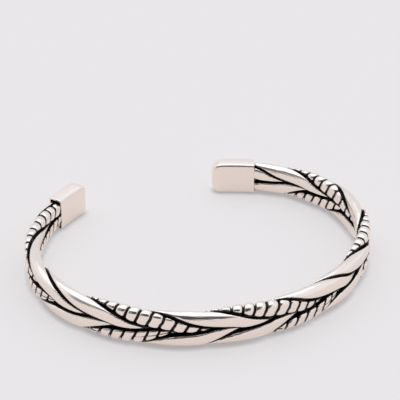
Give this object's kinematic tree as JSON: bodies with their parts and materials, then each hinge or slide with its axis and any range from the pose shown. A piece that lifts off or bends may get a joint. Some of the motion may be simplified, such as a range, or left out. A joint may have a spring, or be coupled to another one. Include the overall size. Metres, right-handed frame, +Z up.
{
  "type": "plaited wire cuff bangle",
  "caption": "Open oval cuff bangle: a flat plait of plain and beaded wires between two box end caps, worn round the wrist.",
  "frame": {"origin": "middle of the bounding box, on the plane that the bangle lies on", "axes": "+Z up out of the plane that the bangle lies on; +Y towards the opening at the back; +X across the wrist"},
  "size_m": [0.063, 0.0532, 0.0072],
  "materials": {
    "plain_silver": "polished silver, blackened in the grooves",
    "beaded_silver": "polished silver beads with blackened grooves",
    "cap_silver": "satin polished silver, blackened inside the mouth"
  },
  "bodies": {
    "root": {"plain_wire_a": "plain_silver", "plain_wire_b": "plain_silver", "plain_wire_c": "plain_silver", "beaded_wire_a": "beaded_silver", "beaded_wire_b": "beaded_silver", "left_end_cap": "cap_silver", "right_end_cap": "cap_silver"}
  },
  "joints": []
}
